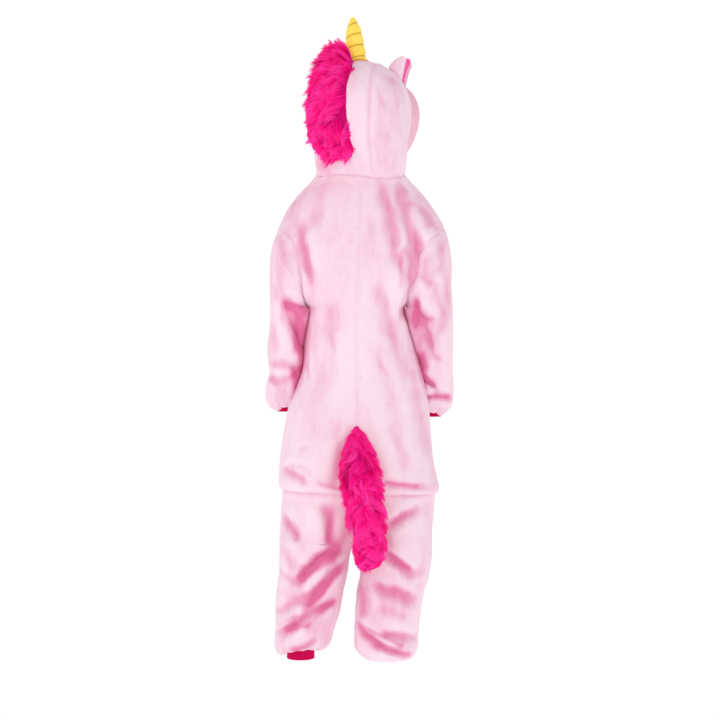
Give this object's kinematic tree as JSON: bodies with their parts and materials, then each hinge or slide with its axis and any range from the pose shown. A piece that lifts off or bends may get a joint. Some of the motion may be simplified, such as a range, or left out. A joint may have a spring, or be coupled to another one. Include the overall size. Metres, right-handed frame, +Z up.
{
  "type": "hooded onesie",
  "caption": "Child's hooded fleece onesie in the shape it has when worn, with a stuffed horn, ears, a fur mane and tail, ribbed cuffs and a buttoned front.",
  "frame": {"origin": "the middle of the neck seam, where the garment is held up on the wearer's shoulders", "axes": "+Z up, along the garment's height; +X to the wearer's left; -Y the way the wearer faces"},
  "size_m": [0.363, 0.2954, 1.219],
  "materials": {
    "body_fleece": "short pale pink plush",
    "brim_fleece": "short rose pink plush",
    "ear_fleece": "short bright pink plush",
    "fur": "long hot pink fur",
    "horn_cloth": "smooth yellow cloth",
    "rib_knit": "crimson ribbed knit",
    "button_plastic": "glossy pink"
  },
  "bodies": {
    "root": {"ankle_cuff_left": "rib_knit", "ankle_cuff_right": "rib_knit", "back_left": "body_fleece", "back_right": "body_fleece", "button_1": "button_plastic", "button_2": "button_plastic", "button_3": "button_plastic", "button_4": "button_plastic", "button_5": "button_plastic", "button_band": "body_fleece", "ear_lining_left": "ear_fleece", "ear_lining_right": "ear_fleece", "ear_outer_left": "body_fleece", "ear_outer_right": "body_fleece", "front_left": "body_fleece", "front_right": "body_fleece", "hood_brim": "brim_fleece", "hood_centre": "body_fleece", "hood_side_left": "body_fleece", "hood_side_right": "body_fleece", "horn": "horn_cloth", "leg_left": "body_fleece", "leg_right": "body_fleece", "mane": "fur", "sleeve_left": "body_fleece", "sleeve_right": "body_fleece", "tail": "fur", "wrist_cuff_left": "rib_knit", "wrist_cuff_right": "rib_knit"}
  },
  "joints": []
}
